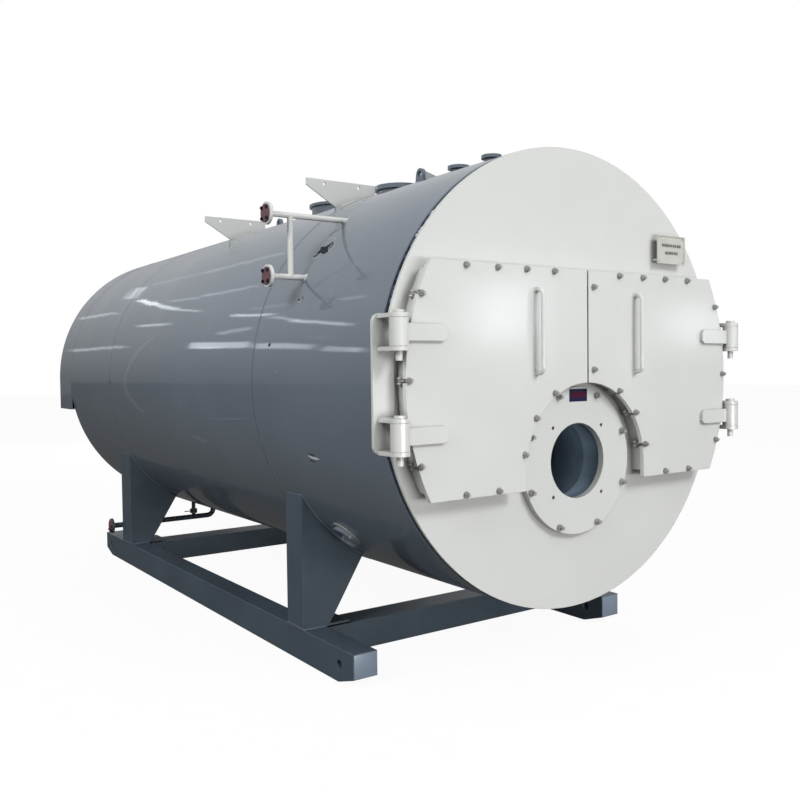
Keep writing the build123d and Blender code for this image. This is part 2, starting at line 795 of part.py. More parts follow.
rear_seam = shell_length - rear_seam_back
nodes = {
    "neck_ring": neck_ring(),
    "shell_front_course": course(end_plate_wall + neck_length, front_seam),
    "shell_middle_course": course(front_seam, rear_seam),
    "shell_rear_course": course(rear_seam, shell_length),
    "front_end_plate": front_end_plate(),
    "smokebox_frame": smokebox_frame(),
    "door_seal": door_seal(),
    "clamp_lugs": clamp_lugs(),
    "swing_bolts": swing_bolts(),
    "front_tube_sheet": front_tube_sheet(),
    "furnace_collar": furnace_collar(),
    "furnace_tube": furnace_tube(),
    "furnace_end": furnace_end(),
    "burner_throat": burner_throat(),
    "burner_plate": burner_plate(),
    "burner_plate_studs": burner_plate_studs(),
    "rear_end_plate": rear_end_plate(),
    "rear_smokebox": rear_smokebox(),
    "rear_smokebox_cover": rear_smokebox_cover(),
    "flue_outlet": flue_outlet(),
    "rear_inspection_cover": rear_inspection_cover(),
    "hinge_brackets": on_both_sides(hinge_bracket),
    "hinge_pins": on_both_sides(hinge_pins),
    "skid_beams": on_both_sides(skid_beam),
    "front_cross_beam": cross_beam(front_leg_station, front_leg_length),
    "rear_cross_beam": cross_beam(rear_leg_station, rear_leg_length),
    "front_legs": on_both_sides(lambda side: leg(side, front_leg_station, front_leg_length)),
    "rear_legs": on_both_sides(lambda side: leg(side, rear_leg_station, rear_leg_length)),
    "front_platform_brackets": on_both_sides(lambda side: platform_bracket(side, front_bracket_station)),
    "rear_platform_brackets": on_both_sides(lambda side: platform_bracket(side, rear_bracket_station)),
    "manhole": manhole(),
    "lifting_lugs": [
        lifting_lug(front_lug_station, front_lug_rise), lifting_lug(rear_lug_station, rear_lug_rise)],
    "water_columns": on_both_sides(water_column),
    "pipe_blinds": pipe_blinds(),
    "drain_pipe": drain_pipe(),
    "hand_holes": on_both_sides(hand_hole),
    "nameplate": nameplate(),
}
for name, (station, radius, top) in nozzles.items():
    nodes[name] = nozzle(station, radius, top)
for hand, side in (("left", -1), ("right", 1)):
    nodes[hand + "_door_plate"] = door_plate(side)
    nodes[hand + "_door_lining"] = door_lining(side)
    nodes[hand + "_door_handle"] = door_handle(side)
    nodes[hand + "_door_nuts"] = door_nuts(side)
    nodes[hand + "_hinge_straps"] = hinge_straps(side)

os.makedirs("parts", exist_ok=True)
for name, shape in nodes.items():
    export_step(Compound(children=solids_of(shape)), "parts/" + name + ".step")
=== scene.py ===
import json
import math
import random

import bmesh
import bpy
from mathutils import Matrix, Vector


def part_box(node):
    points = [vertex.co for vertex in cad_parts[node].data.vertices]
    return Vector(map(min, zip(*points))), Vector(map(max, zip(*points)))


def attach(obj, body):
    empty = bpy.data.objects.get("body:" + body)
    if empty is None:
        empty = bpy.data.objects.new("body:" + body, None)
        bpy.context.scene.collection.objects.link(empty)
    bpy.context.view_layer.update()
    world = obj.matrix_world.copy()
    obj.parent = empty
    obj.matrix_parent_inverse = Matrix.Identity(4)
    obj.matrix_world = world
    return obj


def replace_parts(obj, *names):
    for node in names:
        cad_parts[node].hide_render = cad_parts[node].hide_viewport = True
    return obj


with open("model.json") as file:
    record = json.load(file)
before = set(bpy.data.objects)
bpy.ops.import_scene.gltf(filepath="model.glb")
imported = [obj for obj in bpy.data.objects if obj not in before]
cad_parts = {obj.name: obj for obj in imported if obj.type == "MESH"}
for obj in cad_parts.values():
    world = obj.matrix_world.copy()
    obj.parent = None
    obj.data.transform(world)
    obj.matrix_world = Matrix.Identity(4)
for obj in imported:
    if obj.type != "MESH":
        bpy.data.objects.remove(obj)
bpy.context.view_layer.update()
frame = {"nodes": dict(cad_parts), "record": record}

# Places read from the frame, in metres
plate_low, plate_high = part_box("front_end_plate")
front_y = plate_low.y
axis_height = (plate_low.z + plate_high.z) / 2
shell_radius = (plate_high.x - plate_low.x) / 2
front_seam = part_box("shell_front_course")[1].y - front_y
rear_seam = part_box("shell_rear_course")[0].y - front_y
shell_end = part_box("shell_rear_course")[1].y - front_y
door_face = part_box("left_door_plate")[0].y
X_AXIS, Y_AXIS, Z_AXIS = Vector((1, 0, 0)), Vector((0, 1, 0)), Vector((0, 0, 1))

# Colours, linear
shell_colour = (0.142, 0.172, 0.206)
front_colour = (0.640, 0.648, 0.622)
skid_colour = (0.066, 0.092, 0.118)
steel_colour = (0.400, 0.405, 0.385)
blind_colour = (0.150, 0.072, 0.085)
boiler_plate_colour = (0.130, 0.175, 0.215)
refractory_colour = (0.400, 0.385, 0.350)
seal_colour = (0.300, 0.290, 0.250)
neck_colour = (0.012, 0.018, 0.040)
nameplate_colour = (0.600, 0.600, 0.550)


def node(tree, kind, inputs=None, **settings):
    """A shader node with its settings and inputs; an input is a value or another node's socket."""
    made = tree.nodes.new("ShaderNode" + kind)
    for key, value in settings.items():
        setattr(made, key, value)
    for key, value in (inputs or {}).items():
        if isinstance(value, bpy.types.NodeSocket):
            tree.links.new(value, made.inputs[key])
        else:
            made.inputs[key].default_value = value
    return made


def noise(tree, coords, scale, detail=4.0, roughness=0.55):
    """Cloudy noise between 0 and 1."""
    inputs = {"Vector": coords, "Scale": scale, "Detail": detail, "Roughness": roughness}
    return node(tree, "TexNoise", inputs).outputs["Fac"]


def spread(tree, value, low, high, to_low, to_high):
    """A value's stretch between low and high, mapped to another stretch and held there."""
    inputs = {"Value": value, "From Min": low, "From Max": high, "To Min": to_low, "To Max": to_high}
    return node(tree, "MapRange", inputs).outputs["Result"]


def times(tree, first, second):
    """The product of two values."""
    return node(tree, "Math", {0: first, 1: second}, operation="MULTIPLY").outputs[0]


def blend_colour(tree, amount, first, second):
    """A colour between two others; each input is a value or a socket."""
    made = node(tree, "Mix", data_type="RGBA")
    for key, value in ((0, amount), (6, first), (7, second)):
        if isinstance(value, bpy.types.NodeSocket):
            tree.links.new(value, made.inputs[key])
        else:
            made.inputs[key].default_value = (*value, 1.0) if isinstance(value, tuple) else value
    return made.outputs[2]


def tinted(colour, factor):
    return tuple(min(1.0, part * factor) for part in colour)


# Fineness of the surfaces' grain, and depths of their dimples and waves in metres
grain_scale = 90.0
dimple_depth = 0.002
wave_depth = 0.03


def surface(name, colour, roughness, metallic=0.0, coat=0.0, coat_roughness=0.06,
            mottle=0.06, mottle_scale=2.5, grain=0.03,
            wave=0.0, wave_scale=3.0, dimple=0.02, dimple_scale=220.0,
            dirt=0.0, dirt_colour=(0.10, 0.085, 0.065), runs=0.0, runs_colour=(0.2, 0.2, 0.19),
            edge=0.0, edge_colour=(0.5, 0.5, 0.47), edge_radius=0.004, corner_shade=0.0, corner_shade_reach=0.035,
            specular=0.5):
    """A material with mottled colour, grain, rain runs, edges paler from wear and painted highlight,
    painted shade in corners, and fine relief.
    """
    material = bpy.data.materials.new(name)
    material.use_nodes = True
    tree = material.node_tree
    bsdf = tree.nodes["Principled BSDF"]
    coords = node(tree, "TexCoord").outputs["Object"]
    broad = noise(tree, coords, mottle_scale)
    fine = noise(tree, coords, grain_scale, 3.0)
    base = blend_colour(tree, spread(tree, broad, 0.3, 0.7, 0.0, 1.0),
                        tinted(colour, 1.0 - mottle), tinted(colour, 1.0 + mottle))
    base = blend_colour(tree, spread(tree, fine, 0.35, 0.75, 0.0, grain * 4.0), base, tinted(colour, 0.55))
    if dirt:
        stain = noise(tree, coords, mottle_scale * 3.1, 8.0, 0.72)
        base = blend_colour(tree, spread(tree, stain, 0.58, 0.78, 0.0, dirt), base, dirt_colour)
    if runs:
        drawn = node(tree, "Mapping", {"Vector": coords, "Scale": (9.0, 9.0, 0.7)}).outputs["Vector"]
        base = blend_colour(tree, spread(tree, noise(tree, drawn, 1.6, 6.0, 0.6), 0.52, 0.75, 0.0, runs),
                            base, runs_colour)
    # Painted shade: the colour darkens to a darker copy of itself where ambient occlusion finds corners
    # and recesses
    if corner_shade:
        shade = node(tree, "AmbientOcclusion", {"Distance": corner_shade_reach}, samples=6).outputs["AO"]
        base = blend_colour(tree, spread(tree, shade, 0.25, 0.85, corner_shade, 0.0), base, tinted(colour, 0.32))
    # Edges turn paler, partly as wear and partly as a painted highlight, where the rounded normal parts
    # from the flat one
    if edge:
        rounded = node(tree, "Bevel", {"Radius": edge_radius}, samples=4).outputs["Normal"]
        flat = node(tree, "NewGeometry").outputs["Normal"]
        agree = node(tree, "VectorMath", {0: rounded, 1: flat}, operation="DOT_PRODUCT").outputs["Value"]
        patchy = spread(tree, noise(tree, coords, 35.0, 4.0, 0.7), 0.35, 0.6, 0.35, 1.0)
        wear_and_highlight = times(tree, spread(tree, agree, 0.80, 0.97, edge, 0.0), patchy)
        base = blend_colour(tree, wear_and_highlight, base, edge_colour)
    tree.links.new(base, bsdf.inputs["Base Color"])
    rough = spread(tree, broad, 0.3, 0.7, roughness * 0.85, roughness * 1.2)
    tree.links.new(rough, bsdf.inputs["Roughness"])
    bsdf.inputs["Metallic"].default_value = metallic
    bsdf.inputs["Specular IOR Level"].default_value = specular
    bsdf.inputs["Coat Weight"].default_value = coat
    bsdf.inputs["Coat Roughness"].default_value = coat_roughness
    height = noise(tree, coords, dimple_scale, 2.0)
    bump = node(tree, "Bump", {"Height": height, "Strength": dimple, "Distance": dimple_depth})
    if edge:
        tree.links.new(rounded, bump.inputs["Normal"])
    if wave:
        swell = noise(tree, coords, wave_scale, 1.5)
        bump = node(tree, "Bump", {"Height": swell, "Strength": wave, "Distance": wave_depth,
                                   "Normal": bump.outputs["Normal"]})
    tree.links.new(bump.outputs["Normal"], bsdf.inputs["Normal"])
    if coat:
        tree.links.new(bump.outputs["Normal"], bsdf.inputs["Coat Normal"])
    return material


materials = {
    "shell_paint": surface("shell_enamel", shell_colour, 0.45, coat=1.0, coat_roughness=0.045,
                           mottle=0.05, mottle_scale=1.6, wave=0.05, wave_scale=2.6, dirt=0.12,
                           dirt_colour=(0.12, 0.12, 0.105), runs=0.10, runs_colour=(0.24, 0.25, 0.24),
                           specular=0.3),
    "front_paint": surface("cream_enamel", front_colour, 0.40, coat=0.8, coat_roughness=0.16,
                           mottle=0.015, grain=0.008, wave=0.05, wave_scale=3.0, dirt=0.03,
                           dirt_colour=(0.42, 0.40, 0.33), runs=0.03, runs_colour=(0.5, 0.5, 0.44),
                           edge=0.5, edge_colour=(0.80, 0.80, 0.77), corner_shade=0.62, corner_shade_reach=0.075),
    "skid_paint": surface("slate_enamel", skid_colour, 0.42, coat=0.3, coat_roughness=0.25,
                          mottle=0.12, dirt=0.20, dirt_colour=(0.13, 0.135, 0.13), runs=0.08,
                          runs_colour=(0.15, 0.155, 0.15), edge=0.6, edge_colour=(0.22, 0.24, 0.25),
                          edge_radius=0.006, corner_shade=0.4),
    "bare_steel": surface("zinc_steel", steel_colour, 0.42, metallic=0.45, mottle=0.15, mottle_scale=30.0,
                          dirt=0.45, dirt_colour=(0.16, 0.14, 0.11), corner_shade=0.5),
    "blind_paint": surface("oxide_primer", blind_colour, 0.55, mottle=0.25, mottle_scale=18.0, dirt=0.35,
                           dirt_colour=(0.30, 0.20, 0.19), edge=0.6, edge_colour=(0.25, 0.14, 0.13)),
    "boiler_plate": surface("mill_scale", boiler_plate_colour, 0.6, metallic=0.3, mottle=0.2, dirt=0.4),
    "refractory": surface("refractory", refractory_colour, 0.6, mottle=0.25, mottle_scale=6.0, dimple=0.2,
                          dirt=0.4, dirt_colour=(0.22, 0.20, 0.17)),
    "seal": surface("rope_seal", seal_colour, 0.9, dimple=0.4, dimple_scale=400.0, corner_shade=0.6),
    "neck_paint": surface("neck_primer", neck_colour, 0.5, mottle=0.5, mottle_scale=9.0),
    "nameplate": surface("nameplate_sheet", nameplate_colour, 0.4, metallic=0.2, mottle=0.05,
                         mottle_scale=14.0, edge=0.5, edge_colour=(0.75, 0.75, 0.7), corner_shade=0.4),
}
throat_coat = surface("throat_coat", (0.180, 0.245, 0.310), 0.6, mottle=0.25, mottle_scale=6.0, dimple=0.2,
                      dirt=0.4, dirt_colour=(0.20, 0.24, 0.27))
dark_mark = surface("dark_mark", (0.014, 0.017, 0.028), 0.6, mottle=0.4, mottle_scale=40.0, specular=0.15)
pale_mark = surface("pale_mark", tinted(shell_colour, 1.75), 0.35, coat=0.6, mottle=0.2, mottle_scale=25.0)
# Paler shell paint for the laps' painted highlight, the pale arc and the scuffs
faint_mark = surface("faint_mark", tinted(shell_colour, 1.22), 0.45, coat=1.0, coat_roughness=0.05)
chalk_mark = surface("chalk_mark", (0.62, 0.64, 0.66), 0.5, mottle=0.2, mottle_scale=60.0)
# A painted highlight: the pale beige on the hand holes' rims
rim_highlight = surface("rim_highlight", (0.30, 0.31, 0.27), 0.4, coat=0.6, mottle=0.3, mottle_scale=20.0)
seam_gap = surface("seam_gap", tinted(shell_colour, 0.50), 0.6, mottle=0.3, mottle_scale=12.0)
cream_weld = surface("cream_weld", tinted(front_colour, 0.97), 0.42, coat=0.3, mottle=0.05,
                     mottle_scale=30.0, corner_shade=0.4)
shell_weld = surface("shell_weld", tinted(shell_colour, 1.05), 0.42, coat=0.8, mottle=0.10, corner_shade=0.5)
skid_weld = surface("skid_weld", tinted(skid_colour, 1.8), 0.45, coat=0.3, mottle=0.2, mottle_scale=25.0,
                    corner_shade=0.3)
film = surface("wrapping_film", (0.62, 0.66, 0.74), 0.25, coat=1.0, mottle=0.3, mottle_scale=60.0)
blue_film = surface("blue_film", (0.022, 0.034, 0.120), 0.3, coat=1.0, mottle=0.5, mottle_scale=60.0)
label_blue = surface("label_blue", (0.014, 0.017, 0.055), 0.7, mottle=0.10, mottle_scale=30.0,
                     specular=0.2)
label_red = surface("label_red", (0.060, 0.008, 0.026), 0.7, mottle=0.15, mottle_scale=30.0, specular=0.2)
# Painted light: a paler slate for the beams' front ends, standing for the light they catch
lit_cap_paint = surface("lit_cap_enamel", (0.200, 0.250, 0.310), 0.4, coat=0.4, coat_roughness=0.2, mottle=0.08,
                    dirt=0.25, dirt_colour=(0.14, 0.14, 0.13), edge=0.5, edge_colour=(0.35, 0.38, 0.40))
pale_plate = surface("pale_plate", (0.42, 0.44, 0.45), 0.45, mottle=0.1, edge=0.4, corner_shade=0.4)
ink = surface("grey_ink", (0.20, 0.20, 0.19), 0.6, mottle=0.2, mottle_scale=60.0)


def dress_frame():
    """Each part of the frame gets the material of its slot in the record."""
    for subpart in frame["record"]["subparts"]:
        mesh = frame["nodes"][subpart["node"]].data
        mesh.materials.clear()
        own = throat_coat if subpart["node"] == "burner_throat" else materials[subpart["material_slot"]]
        mesh.materials.append(own)


# Camera: photographed from the front left, about level with the shell's axis
camera_place = Vector((-3.4965, -6.2918, 1.7485))
camera_yaw = 0.610
camera_pitch = -0.038
camera_roll = -0.012
camera_lens = 39.06


def set_camera():
    """The photo's camera, from its place, its three angles and its lens."""
    ahead = Vector((math.sin(camera_yaw) * math.cos(camera_pitch),
                    math.cos(camera_yaw) * math.cos(camera_pitch), math.sin(camera_pitch)))
    right = Vector((math.cos(camera_yaw), -math.sin(camera_yaw), 0.0))
    up = right.cross(ahead)
    tilted_right = right * math.cos(camera_roll) + up * math.sin(camera_roll)
    tilted_up = up * math.cos(camera_roll) - right * math.sin(camera_roll)
    turn = Matrix((tilted_right, tilted_up, -ahead)).transposed().to_4x4()
    data = bpy.data.cameras.new("camera")
    data.lens = camera_lens
    data.clip_end = 200.0
    camera = bpy.data.objects.new("camera", data)
    camera.matrix_world = Matrix.Translation(camera_place) @ turn
    bpy.context.scene.collection.objects.link(camera)
    bpy.context.scene.camera = camera


def place(x, station, height):
    """A point by its distance from the middle, from the end plate's face and above the shell's axis."""
    return Vector((x, front_y + station, axis_height + height))


def on_shell(station, degrees, proud=0.0, side=-1):
    """A point on the shell's side, by its angle above the axis."""
    turn = math.radians(degrees)
    reach = shell_radius + proud
    return place(side * reach * math.cos(turn), station, reach * math.sin(turn))


class Shape:
    """Points and faces gathered for one piece."""

    def __init__(self):
        self.points = []
        self.faces = []

    def add(self, points, faces):
        first = len(self.points)
        self.points.extend(tuple(point) for point in points)
        self.faces.extend(tuple(first + index for index in face) for face in faces)

    def piece(self, name, body, slot, material, sharp=40.0):
        """The gathered mesh as one object that rides on a body."""
        mesh = bpy.data.meshes.new(name)
        mesh.from_pydata(self.points, [], self.faces)
        work = bmesh.new()
        work.from_mesh(mesh)
        bmesh.ops.recalc_face_normals(work, faces=work.faces)
        work.to_mesh(mesh)
        work.free()
        mesh.polygons.foreach_set("use_smooth", [True] * len(mesh.polygons))
        mesh.set_sharp_from_angle(angle=math.radians(sharp))
        mesh.materials.append(material)
        made = bpy.data.objects.new(name, mesh)
        bpy.context.scene.collection.objects.link(made)
        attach(made, body)
        return made


def lathe(shape, centre, axis, profile, sides_count, turn=0.0):
    """A turned form about an axis; the profile's points are (radius, distance along the axis)."""
    axis = axis.normalized()
    first = axis.cross(Z_AXIS if abs(axis.z) < 0.9 else X_AXIS).normalized()
    second = axis.cross(first)
    points, faces = [], []
    for radius, along in profile:
        for step in range(sides_count):
            angle = turn + math.tau * step / sides_count
            outward = first * math.cos(angle) + second * math.sin(angle)
            points.append(centre + axis * along + outward * radius)
    for row in range(len(profile) - 1):
        for step in range(sides_count):
            after = (step + 1) % sides_count
            faces.append((row * sides_count + step, row * sides_count + after,
                          (row + 1) * sides_count + after, (row + 1) * sides_count + step))
    faces.append(tuple(range(sides_count)))
    last = (len(profile) - 1) * sides_count
    faces.append(tuple(last + step for step in range(sides_count)))
    shape.add(points, faces)


# A washer's thickness as a share of its bolt head's height
washer_share = 0.22
hexagon_turn = 0.3


def hex_bolt(shape, centre, axis, across, height, washer):
    """A hexagon head with chamfered corners on a washer; across is the head's widest, washer a radius."""
    base = height * washer_share
    lathe(shape, centre, axis, ((washer, 0.0), (washer, base * 0.8), (washer * 0.93, base)), 20)
    corner = across / 2
    lathe(shape, centre + axis.normalized() * base, axis,
          ((corner, 0.0), (corner, height * 0.82), (corner * 0.84, height)), 6, hexagon_turn)


def sweep(shape, path, radius, reference, closed):
    """A round bar along a path; radius is a list, one for each point."""
    ring = 8
    count = len(path)
    points, faces = [], []
    for index, point in enumerate(path):
        before = path[index - 1] if closed or index else point
        after = path[(index + 1) % count] if closed or index < count - 1 else point
        along = (after - before).normalized()
        first = along.cross(reference).normalized()
        second = along.cross(first)
        for step in range(ring):
            angle = math.tau * step / ring
            outward = first * math.cos(angle) + second * math.sin(angle)
            points.append(point + outward * radius[index])
    for index in range(count if closed else count - 1):
        after = (index + 1) % count
        for step in range(ring):
            turn = (step + 1) % ring
            faces.append((index * ring + step, index * ring + turn,
                          after * ring + turn, after * ring + step))
    if not closed:
        faces.append(tuple(range(ring)))
        faces.append(tuple((count - 1) * ring + step for step in range(ring)))
    shape.add(points, faces)


def stepped(corners, step, closed=False):
    """Points a step apart along the straight runs between corners."""
    path = []
    ends = corners + corners[:1] if closed else corners
    for start, end in zip(ends, ends[1:]):
        count = max(2, round((end - start).length / step))
        path.extend(start.lerp(end, index / count) for index in range(count))
    if not closed:
        path.append(ends[-1])
    return path


def circle(centre, axis, radius, step, start=0.0):
    """Points about a step apart on a circle, eight at least, from an angle in degrees."""
    axis = axis.normalized()
    first = X_AXIS if abs(axis.x) < 0.9 else Y_AXIS
    second = axis.cross(first)
    count = max(8, round(math.tau * radius / step))
    angles = [math.radians(start + 360.0 * index / count) for index in range(count)]
    return [centre + (first * math.cos(angle) + second * math.sin(angle)) * radius for angle in angles]


def weld(shape, path, width, reference, closed, seed):
    """A rippled bead of weld along a path whose points are about half a width apart."""
    draw = random.Random(seed)
    radius = [width / 2 * (0.88 + 0.22 * abs(math.sin(index * 0.8)) + draw.uniform(-0.07, 0.07))
              for index in range(len(path))]
    sweep(shape, path, radius, reference, closed)


def slab(shape, low, high, bevel):
    """A block with rounded edges between two corners."""
    work = bmesh.new()
    bmesh.ops.create_cube(work, size=1.0)
    size = high - low
    bmesh.ops.scale(work, vec=size, verts=work.verts)
    bmesh.ops.translate(work, vec=(low + high) / 2, verts=work.verts)
    bmesh.ops.bevel(work, geom=work.edges[:], offset=bevel, segments=2, affect="EDGES", profile=0.5)
    work.verts.index_update()
    shape.add([vertex.co.copy() for vertex in work.verts],
              [[vertex.index for vertex in face.verts] for face in work.faces])
    work.free()


def blot(shape, station, degrees, length, breadth, seed, tilt=0.0):
    """An irregular thin patch that lies on the shell."""
    draw = random.Random(seed)
    proud = 0.0012
    count = 28
    rings = (1.0, 0.7, 0.35)
    waves = [(draw.uniform(0.03, 0.16), draw.uniform(0, math.tau), lobes) for lobes in (2, 3, 5, 7)]
    points = []
    for share in rings:
        rise = proud * (0.25 if share == 1.0 else 1.0)
        for step in range(count):
            angle = math.tau * step / count
            swell = sum(size * math.sin(lobes * angle + shift) for size, shift, lobes in waves)
            reach = share * (1 + swell)
            along = reach * length / 2 * math.cos(angle)
            across = reach * breadth / 2 * math.sin(angle)
            turned_along = along * math.cos(tilt) - across * math.sin(tilt)
            turned_across = along * math.sin(tilt) + across * math.cos(tilt)
            turned_degrees = math.degrees(turned_across / shell_radius)
            points.append(on_shell(station + turned_along, degrees + turned_degrees, rise))
    points.append(on_shell(station, degrees, proud))
    faces = []
    for row in range(len(rings) - 1):
        for step in range(count):
            after = (step + 1) % count
            faces.append((row * count + step, row * count + after,
                          (row + 1) * count + after, (row + 1) * count + step))
    inner = (len(rings) - 1) * count
    faces.extend((inner + step, inner + (step + 1) % count, len(points) - 1) for step in range(count))
    shape.add(points, faces)


def trail(shape, spots, width):
    """A thin flat stroke on the shell through (station, degrees) spots, with tapered ends."""
    proud = 0.0006
    clear = 0.0002
    parts = 8
    path = []
    for start, end in zip(spots, spots[1:]):
        for part in range(parts):
            share = part / parts
            path.append((start[0] + (end[0] - start[0]) * share, start[1] + (end[1] - start[1]) * share))
    path.append(spots[-1])
    last = len(path) - 1
    points = []
    for index, (station, degrees) in enumerate(path):
        before, after = path[max(0, index - 1)], path[min(last, index + 1)]
        climb = math.radians(after[1] - before[1]) * shell_radius
        along = Vector((after[0] - before[0], climb)).normalized()
        reach = width / 2 * min(1.0, 0.15 + 1.2 * min(index, last - index) / (len(path) / 4))
        for turn, rise in ((-1, 0.0), (0, proud), (1, 0.0)):
            turned_station = station - along.y * reach * turn
            turned_degrees = degrees + math.degrees(along.x * reach * turn / shell_radius)
            points.append(on_shell(turned_station, turned_degrees, rise + clear))
    faces = []
    for index in range(last):
        for column in (0, 1):
            first = index * 3 + column
            faces.append((first, first + 1, first + 4, first + 3))
    shape.add(points, faces)


# Seams of the cladding: a dark joint, and beside it the lapped sheet's edge painted pale as a highlight
joint_width = 0.009
joint_rise = 0.0008
lap_width = 0.007
lap_rise = 0.0014


def band(shape, station, width, rise):
    """A thin hoop round the shell with chamfered edges."""
    steps = 240
    clear = 0.0001
    profile = ((0.0, 0.0), (0.2, rise), (0.8, rise), (1.0, 0.0))
    count = len(profile)
    points, faces = [], []
    for step in range(steps):
        for share, height in profile:
            points.append(on_shell(station + width * share, 360.0 * step / steps, height + clear))
    for step in range(steps):
        after = (step + 1) % steps
        for column in range(count - 1):
            faces.append((step * count + column, step * count + column + 1,
                          after * count + column + 1, after * count + column))
    shape.add(points, faces)


def cladding_seams():
    """The joint at the front seam, and the laps' painted highlights at both seams and at the shell's rear
    end.
    """
    gaps, lap_highlights = Shape(), Shape()
    band(gaps, front_seam - joint_width / 2, joint_width, joint_rise)
    band(lap_highlights, front_seam - joint_width / 2 - lap_width, lap_width, lap_rise)
    band(lap_highlights, rear_seam, lap_width, lap_rise / 2)
    band(lap_highlights, shell_end - lap_width, lap_width, lap_rise)
    gaps.piece("seam_joints", "boiler", "shell_paint", seam_gap)
    lap_highlights.piece("seam_lap_highlights", "boiler", "shell_paint", faint_mark)


def lit_beam_caps():
    """End plates on the beams' front ends, above the cut toes, in a paler slate that is painted light for
    the light their front faces catch.
    """
    caps = Shape()
    wall = 0.003
    bevel = 0.001
    toe_height = 0.051
    low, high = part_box("skid_beams")
    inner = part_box("front_cross_beam")[1].x
    for side in (-1, 1):
        edges = sorted((side * inner, side * high.x))
        slab(caps, Vector((edges[0] + wall, low.y - wall, low.z + toe_height + wall)),
             Vector((edges[1] - wall, low.y, high.z - wall)), bevel)
    caps.piece("lit_beam_caps", "boiler", "skid_paint", lit_cap_paint)


# Marks on the left side, at (station, degrees above the axis)
# Blots of the tear and the small stain below it: place, length, breadth, tilt
dark_blots = (
    (0.972, 37.4, 0.115, 0.034, -0.35),
    (0.945, 36.2, 0.080, 0.026, 0.5),
    (0.962, 21.7, 0.028, 0.012, 0.4),
    (0.925, 22.2, 0.020, 0.008, 0.6),
)
# Strokes of the tear's dark middle, each with its width
tear_strokes = (
    (((1.040, 35.0), (1.010, 35.5), (0.965, 36.8)), 0.014),
    (((1.023, 38.4), (0.985, 37.6), (0.930, 36.9), (0.885, 35.6)), 0.024),
    (((0.965, 36.6), (0.925, 37.8), (0.912, 39.6)), 0.022),
    (((0.900, 36.9), (0.885, 38.0), (0.900, 39.2)), 0.012),
)
# Pale lifted paint round the tear
tear_edge_width = 0.007
tear_edges = (
    ((1.085, 35.4), (1.090, 37.6), (1.050, 39.6)),
    ((1.030, 40.6), (0.960, 41.2), (0.890, 40.2)),
    ((0.872, 39.4), (0.855, 37.2), (0.890, 35.2)),
    ((0.925, 34.7), (0.990, 34.3), (1.050, 34.7)),
    ((1.040, 37.4), (1.000, 39.2), (0.950, 40.0)),
    ((0.985, 35.3), (0.930, 35.2)),
)
# Thin dark lines of painted shade by the pipes' ends, each with its width
pipe_shade_lines = (
    (((0.930, 46.0), (0.974, 44.4), (1.044, 42.6)), 0.006),
    (((0.985, 27.0), (1.010, 25.6)), 0.004),
)
# The dark shade on the front seam, and the pale arc on the middle course
seam_shade_width = 0.009
seam_shade_offsets = (-0.002, 0.001)
seam_shade_degrees = (6.0, -2.0, -12.0, -22.0, -30.0)
pale_arc_width = 0.055
pale_arc = ((3.10, 17.5), (3.50, 11.5), (3.68, 6.8), (3.80, 2.0), (3.846, -0.9), (3.80, -4.6),
             (3.57, -10.2), (3.40, -11.9))
# Faint scuffs: start, end, width
scuffs = (
    ((2.63, -6.4), (2.58, -8.6), 0.03),
    ((2.50, -6.2), (2.47, -7.8), 0.02),
    ((2.53, -18.2), (2.25, -19.8), 0.03),
    ((2.27, -3.6), (2.24, -4.8), 0.02),
    ((2.18, -11.7), (1.48, -10.4), 0.010),
    ((1.10, 3.2), (1.06, 2.6), 0.012),
)
# Single marks: place, length, breadth, seed and tilt of a blot, or the spots of a stroke
pale_stain = (0.948, 21.2, 0.040, 0.012, 71, 0.3)
dark_spot = (1.20, 10.0, 0.030, 0.020, 73)
# A dent drawn only as a dark blot of painted shade, with a stroke of painted shade below it
dent_shade_blot = (0.80, -18.3, 0.060, 0.008, 72, 0.1)
dent_shade = ((0.846, -19.9), (0.780, -20.3))
thin_width = 0.006
chalk_stroke = ((0.846, -18.8), (0.796, -19.2), (0.726, -19.3))
chalk_width = 0.013
nick_reach = 0.05


def shell_marks():
    """The torn patch below the upper pipe, a dent and lines by the pipes' ends in painted shade, scuffs
    and the pale arc on the left side.
    """
    dark, pale, faint, chalk = Shape(), Shape(), Shape(), Shape()
    for station, degrees, length, breadth, tilt in dark_blots:
        blot(dark, station, degrees, length, breadth, round(station * 1000), tilt=tilt)
    for stroke, width in tear_strokes:
        trail(dark, stroke, width)
    for stroke in tear_edges:
        trail(pale, stroke, tear_edge_width)
    # Painted shade by the pipes' ends
    for stroke, width in pipe_shade_lines:
        trail(dark, stroke, width)
    for offset in seam_shade_offsets:
        shade = [(front_seam + offset, degrees) for degrees in seam_shade_degrees]
        trail(dark, shade, seam_shade_width)
    blot(pale, *pale_stain)
    # The dent's painted shade
    blot(dark, *dent_shade_blot)
    trail(chalk, chalk_stroke, chalk_width)
    trail(dark, dent_shade, thin_width)
    blot(dark, *dark_spot)
    trail(faint, pale_arc, pale_arc_width)
    for start, end, width in scuffs:
        trail(faint, (start, end), width)
    trail(dark, ((rear_seam - nick_reach, -0.9), (rear_seam + nick_reach, -1.0)), thin_width)
    dark.piece("shell_dark_marks", "boiler", "shell_paint", dark_mark)
    pale.piece("shell_pale_marks", "boiler", "shell_paint", pale_mark)
    faint.piece("shell_faint_marks", "boiler", "shell_paint", faint_mark)
    chalk.piece("shell_chalk_marks", "boiler", "shell_paint", chalk_mark)


